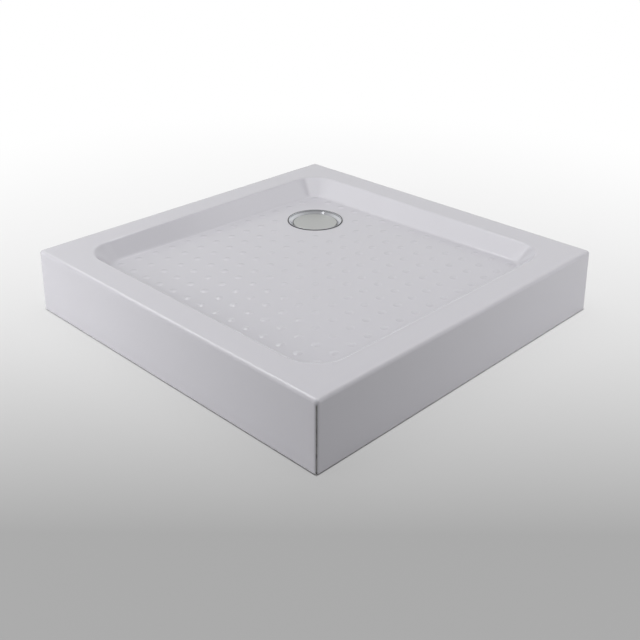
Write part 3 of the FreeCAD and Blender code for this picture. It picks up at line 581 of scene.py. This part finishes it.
class TRAY_OT_backing(TrayOperator, Operator):
    """Finish the laminate, bed, board and battens under the shell"""
    bl_idname = "tray.backing"
    bl_label = "Backing and Board"

    def execute(self, context):
        dress(make_laminate(), "glass_layer")
        dress(make_foam(), "foam_bed")
        dress(make_chipboard(), "base_board")
        dress(make_timber(along_x=True), "skirt_batten_front", "skirt_batten_back")
        dress(make_timber(along_x=False), "skirt_batten_left", "skirt_batten_right")
        return {"FINISHED"}


class TRAY_OT_frame(TrayOperator, Operator):
    """Finish the steel frame and the screws"""
    bl_idname = "tray.frame"
    bl_label = "Steel Frame"

    def execute(self, context):
        dress(make_zinc(), *RAILS, *CROSSES, "frame_screws", "flange_screws")
        return {"FINISHED"}


class TRAY_OT_feet(TrayOperator, Operator):
    """Finish the foot pads, and make their threaded stems and chamfered nuts"""
    bl_idname = "tray.feet"
    bl_label = "Levelling Feet"

    def execute(self, context):
        settings = detail_settings()
        pad_plastic = make_moulded("black_plastic", BLACK_PLASTIC, roughness=0.5)
        dress(pad_plastic, *(f"foot_pad_{foot}" for foot in FEET))
        zinc = make_zinc(name="foot_zinc")
        first = self.stem(settings, FEET[0])
        pattern = bpy.data.meshes.new("stem_pattern")
        first.to_mesh(pattern)
        first.free()
        for foot in FEET:
            build = bmesh.new()
            build.from_mesh(pattern)
            offset = middle_of(f"foot_stem_{foot}") - middle_of(f"foot_stem_{FEET[0]}")
            bmesh.ops.translate(build, verts=build.verts, vec=offset)
            stem = finish_piece(build, f"threaded_stem_{foot}", f"stem_{foot}", zinc)
            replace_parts(stem, f"foot_stem_{foot}")
        bpy.data.meshes.remove(pattern)
        for node in ("foot_nuts", "lock_nuts"):
            nuts = finish_piece(self.nuts(settings, node), f"chamfered_{node}", "tray",
                                zinc)
            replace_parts(nuts, node)
        return {"FINISHED"}

    def stem(self, settings, foot):
        """Make a core with spigot and chamfered end, a spanner collar, and a thread round it."""
        build = bmesh.new()
        low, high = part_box(f"foot_stem_{foot}")
        centre = ((low.x + high.x) / 2, (low.y + high.y) / 2)
        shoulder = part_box(f"foot_pad_{foot}")[1].z
        collar = shoulder + settings.collar_height
        crest, root = settings.stem_radius, settings.stem_radius - settings.thread_depth
        chamfer = settings.thread_depth
        turn_profile(build, ((0, low.z), (settings.spigot_radius - chamfer / 2, low.z),
                             (settings.spigot_radius, low.z + chamfer / 2),
                             (settings.spigot_radius, shoulder), (root, shoulder),
                             (root, high.z - chamfer), (root - chamfer, high.z), (0, high.z)),
                     centre, settings.round_steps)
        pitch = settings.thread_pitch
        start = collar + pitch / 2
        half, flat = pitch * THREAD_ROOT, pitch * THREAD_CREST
        sunk = root - settings.thread_depth / 4
        outline = ((sunk, -half), (crest, -flat), (crest, flat), (sunk, half))
        section = [build.verts.new((centre[0] + radius, centre[1], start + height))
                   for radius, height in outline]
        face = build.faces.new(section)
        turns = int((high.z - chamfer - half - start) / pitch)
        bmesh.ops.spin(build, geom=section + list(face.edges) + [face], cent=(*centre, 0),
                       axis=(0, 0, 1), dvec=(0, 0, pitch / settings.round_steps),
                       angle=2 * math.pi * turns, steps=turns * settings.round_steps)
        ends = [edge for edge in build.edges if edge.is_boundary]
        bmesh.ops.holes_fill(build, edges=ends, sides=len(outline))
        add_hexagon(build, settings.collar_flats, shoulder, collar, centre, chamfer / 2)
        return build

    def nuts(self, settings, node):
        """Make a nut round every stem: a hexagon with its corners turned down, and a bore."""
        build = bmesh.new()
        low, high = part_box(node)
        bore = settings.stem_radius + NUT_GAP
        reach = settings.nut_flats / math.sqrt(3)
        for foot in FEET:
            centre = middle_of(f"foot_pad_{foot}")
            bmesh.ops.create_circle(build, segments=6, radius=reach)
            sides = [edge for edge in build.edges if not edge.link_faces]
            bmesh.ops.subdivide_edges(build, edges=sides, cuts=NUT_CUTS)
            bmesh.ops.create_circle(build, segments=len(sides) * (NUT_CUTS + 1), radius=bore)
            base = [vert for vert in build.verts if not vert.link_faces]
            rims = [edge for edge in build.edges if not edge.link_faces]
            ring = bmesh.ops.bridge_loops(build, edges=rims)["faces"]
            bmesh.ops.rotate(build, verts=base, cent=(0, 0, 0),
                             matrix=Matrix.Rotation(HEXAGON_TURN, 3, "Z"))
            bmesh.ops.translate(build, verts=base, vec=(centre.x, centre.y, low.z))
            raised = bmesh.ops.extrude_face_region(build, geom=ring, use_keep_orig=True)["geom"]
            top = [item for item in raised if isinstance(item, bmesh.types.BMVert)]
            bmesh.ops.translate(build, verts=top, vec=(0, 0, high.z - low.z))
            self.turn_corners(build, base, centre, settings.nut_flats / 2, way=1)
            self.turn_corners(build, top, centre, settings.nut_flats / 2, way=-1)
        return build

    @staticmethod
    def turn_corners(build, verts, centre, radius, way):
        """Move the corners of a nut's face into the nut, as its turned chamfer does."""
        for vert in verts:
            past = math.hypot(vert.co.x - centre.x, vert.co.y - centre.y) - radius
            if past > 0:
                bmesh.ops.translate(build, verts=[vert], vec=(0, 0, way * past * CHAMFER_SLOPE))


class TRAY_OT_waste(TrayOperator, Operator):
    """Finish the waste, and make its ring's rolled edge and its lipped seal, whose black lip is
    painted shade round the ring
    """
    bl_idname = "tray.waste"
    bl_label = "Waste"

    def execute(self, context):
        settings = detail_settings()
        bright = make_bright_metal()
        dress(bright, "waste_flange")
        finish_piece(self.rolled_edge(settings), "rolled_ring_edge", "tray", bright)
        dress(make_satin_metal(), "waste_cover")
        rubber = make_moulded("black_rubber", BLACK_RUBBER, roughness=0.42)
        dress(rubber, "flange_gasket", "trap_gasket", "cup_seal", "outlet_seal")
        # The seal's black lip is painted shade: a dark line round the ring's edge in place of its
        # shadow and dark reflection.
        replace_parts(finish_piece(self.seal_with_shade_lip(settings), "seal_lip_as_painted_shade", "tray",
                                 rubber), "flange_gasket")
        grey = make_moulded("grey_plastic", GREY_PLASTIC, roughness=0.38)
        dress(grey, "trap_body", "outlet_nut")
        white = make_moulded("white_plastic", WHITE_PLASTIC, roughness=0.35)
        dress(white, "dip_cup", "cover_carrier")
        return {"FINISHED"}

    @staticmethod
    def crown(inner, width, tip):
        """Return a half-round top, from its outer to its inner side, in (radius, height) pairs."""
        half = width / 2
        turns = [math.radians(degrees) for degrees in range(0, 180 + CROWN_STEP, CROWN_STEP)]
        return [(inner + half + half * math.cos(turn), tip - half + half * math.sin(turn))
                for turn in turns]

    def rolled_edge(self, settings):
        """Make the bright ring's outer edge, rolled up and round on top."""
        build = bmesh.new()
        low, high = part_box("waste_flange")
        outer = (high.x - low.x) / 2
        inner = outer - settings.roll_width
        foot = high.z - settings.roll_width / 4
        top = self.crown(inner, settings.roll_width, high.z + settings.roll_height)
        turn_profile(build, ((inner, foot), (outer, foot), *top, (inner, foot)),
                     (WASTE.x, WASTE.y), RING_STEPS)
        return build

    def seal_with_shade_lip(self, settings):
        """Make the ring's seal, with a round black lip standing up round the ring's edge as
        painted shade.
        """
        build = bmesh.new()
        low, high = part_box("flange_gasket")
        ring_low, ring_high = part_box("waste_flange")
        outer, edge = (high.x - low.x) / 2, (ring_high.x - ring_low.x) / 2 + SEAL_GAP
        inner = edge - SEAL_REACH
        width = min(settings.lip_width, outer - edge)
        top = self.crown(edge, width, ring_high.z + settings.lip_height)
        turn_profile(build, ((inner, low.z), (outer, low.z), (outer, high.z),
                             (edge + width, high.z), *top, (edge, high.z),
                             (inner, high.z), (inner, low.z)),
                     (WASTE.x, WASTE.y), RING_STEPS)
        return build


class TRAY_OT_stage(TrayOperator, Operator):
    """Make the floor, the light and the camera"""
    bl_idname = "tray.stage"
    bl_label = "Stage"

    def execute(self, context):
        settings = stage_settings()
        back = Vector((-math.cos(settings.azimuth) * math.cos(settings.elevation),
                       -math.sin(settings.azimuth) * math.cos(settings.elevation),
                       math.sin(settings.elevation)))
        viewpoint = Vector(settings.target) + back * settings.distance
        self.add_camera(context, settings, viewpoint)
        self.add_floor(context, settings, viewpoint, back)
        self.add_lamps(context, settings)
        self.add_sky(context, settings, back)
        context.scene.view_settings.view_transform = "Standard"
        return {"FINISHED"}

    def add_camera(self, context, settings, viewpoint):
        """Add the camera, at the photograph's viewing angle."""
        data = bpy.data.cameras.new("view")
        data.lens = settings.lens
        camera = bpy.data.objects.new("view", data)
        context.scene.collection.objects.link(camera)
        aim(camera, viewpoint, settings.target, settings.roll)
        context.scene.camera = camera

    def add_floor(self, context, settings, viewpoint, back):
        """Add a pale floor that greys a little towards the viewer, glows its own colour to the
        camera and in gloss as painted light, and is clear from below.
        """
        mesh = bpy.data.meshes.new("floor")
        build = bmesh.new()
        bmesh.ops.create_grid(build, x_segments=1, y_segments=1, size=settings.floor_size / 2)
        build.to_mesh(mesh)
        build.free()
        floor = bpy.data.objects.new("floor", mesh)
        context.scene.collection.objects.link(floor)

        finish = Finish("pale_floor", Roughness=FLOOR_ROUGHNESS)
        ahead = -Vector((back.x, back.y, 0)).normalized()
        x, y = finish.level_place()
        away = (x - viewpoint.x) * ahead.x + (y - viewpoint.y) * ahead.y
        fade = finish.add("MapRange", {"clamp": True},
                          {"Value": away, "From Min": settings.fade_start,
                           "From Max": settings.fade_end})
        grey = 1.0 - (1.0 - fade) ** FADE_CURVE * (1.0 - settings.near_floor)
        colour = finish.add("CombineColor", {}, {"Red": grey, "Green": grey, "Blue": grey})
        finish.set("Base Color", colour)
        finish.set("Specular IOR Level", 0.0)

        # Painted light: the floor glows its own grey to the camera and in gloss, less near the
        # tray so some shadow shows, and not at all under it.
        glow = finish.add("Emission", {}, {"Color": colour, "Strength": 1.0})
        distance = level_length(x, y).between(low=GLOW_NEAR, high=GLOW_FAR)
        share = distance * (1.0 - settings.floor_glow_share) + settings.floor_glow_share
        reach = x.math("ABSOLUTE").math("MAXIMUM", y.math("ABSOLUTE"))
        under = reach.math("LESS_THAN", TRAY_SIDE / 2)
        share = finish.seen_by("Camera", "Glossy") * share * (1.0 - under)
        top = finish.mix_shaders(share, Signal(finish, finish.shader.outputs[0]), glow)
        clear = finish.add("BsdfTransparent")
        below = finish.add("NewGeometry", output="Backfacing")
        output = finish.tree.nodes["Material Output"]
        finish.feed(output.inputs["Surface"], finish.mix_shaders(below, top, clear))
        mesh.materials.append(finish.material)

    def add_lamps(self, context, settings):
        """Add panels that light the tray evenly, and boxes that show only in its gloss."""
        shell_only = bpy.data.collections.new("gloss_of_the_shell")
        shell_only.objects.link(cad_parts["tray_shell"])
        lamps = {**PANELS, **SHELL_BOXES, **RING_BOXES}
        for name, (place, target, size, power) in lamps.items():
            data = bpy.data.lights.new(name, "AREA")
            data.size = size
            data.energy = power * settings.lamps
            lamp = bpy.data.objects.new(name, data)
            lamp.visible_diffuse = name in PANELS
            lamp.visible_glossy = name not in PANELS
            lamp.visible_camera = False
            if name in SHELL_BOXES:
                lamp.light_linking.receiver_collection = shell_only
            context.scene.collection.objects.link(lamp)
            aim(lamp, place, target)

    def add_sky(self, context, settings, back):
        """Add a pale room, dimmer above and behind the viewer, and a weaker even light from it."""
        world = bpy.data.worlds.new("studio")
        world.use_nodes = True
        room = Finish.of_world(world)
        across = room.add("TexCoord", output="Generated")
        dim = Vector((back.x, back.y, settings.dim_height)).normalized()
        towards = room.add("VectorMath", {"operation": "DOT_PRODUCT"}, {0: across, 1: dim},
                           output="Value")
        dimming = towards.between(low=DIM_EDGE, high=DIM_MIDDLE)
        tone = settings.surround - dimming * (settings.surround - settings.dim_part)
        seen = room.seen_by("Camera", "Glossy", "Transmission")
        room.set("Strength", seen * (tone - settings.sky) + settings.sky)
        room.set("Color", (1.0, 1.0, 1.0))
        context.scene.world = world


OPERATORS = (TRAY_OT_shell, TRAY_OT_backing, TRAY_OT_frame, TRAY_OT_feet, TRAY_OT_waste,
             TRAY_OT_stage)


class TRAY_PT_panel(Panel):
    """The tray's operators and settings"""
    bl_idname = "TRAY_PT_panel"
    bl_label = "Shower Tray"
    bl_space_type = "VIEW_3D"
    bl_region_type = "UI"
    bl_category = "Shower Tray"

    def draw(self, context):
        for operator in OPERATORS:
            self.layout.operator(operator.bl_idname)
        for settings in (finish_settings(), stage_settings(), detail_settings()):
            box = self.layout.box()
            for name in settings.__annotations__:
                box.prop(settings, name)


SETTINGS = {"tray_finish": TrayFinish, "tray_stage": TrayStage, "tray_detail": TrayDetail}
CLASSES = (*SETTINGS.values(), *OPERATORS, TRAY_PT_panel)


def register():
    for item in CLASSES:
        bpy.utils.register_class(item)
    for name, group in SETTINGS.items():
        setattr(bpy.types.Scene, name, PointerProperty(type=group))


def unregister():
    for name in SETTINGS:
        delattr(bpy.types.Scene, name)
    for item in reversed(CLASSES):
        bpy.utils.unregister_class(item)


def main():
    """Register the add-on and make everything."""
    register()
    for operator in OPERATORS:
        group, name = operator.bl_idname.split(".")
        getattr(getattr(bpy.ops, group), name)()


if __name__ == "__main__":
    main()
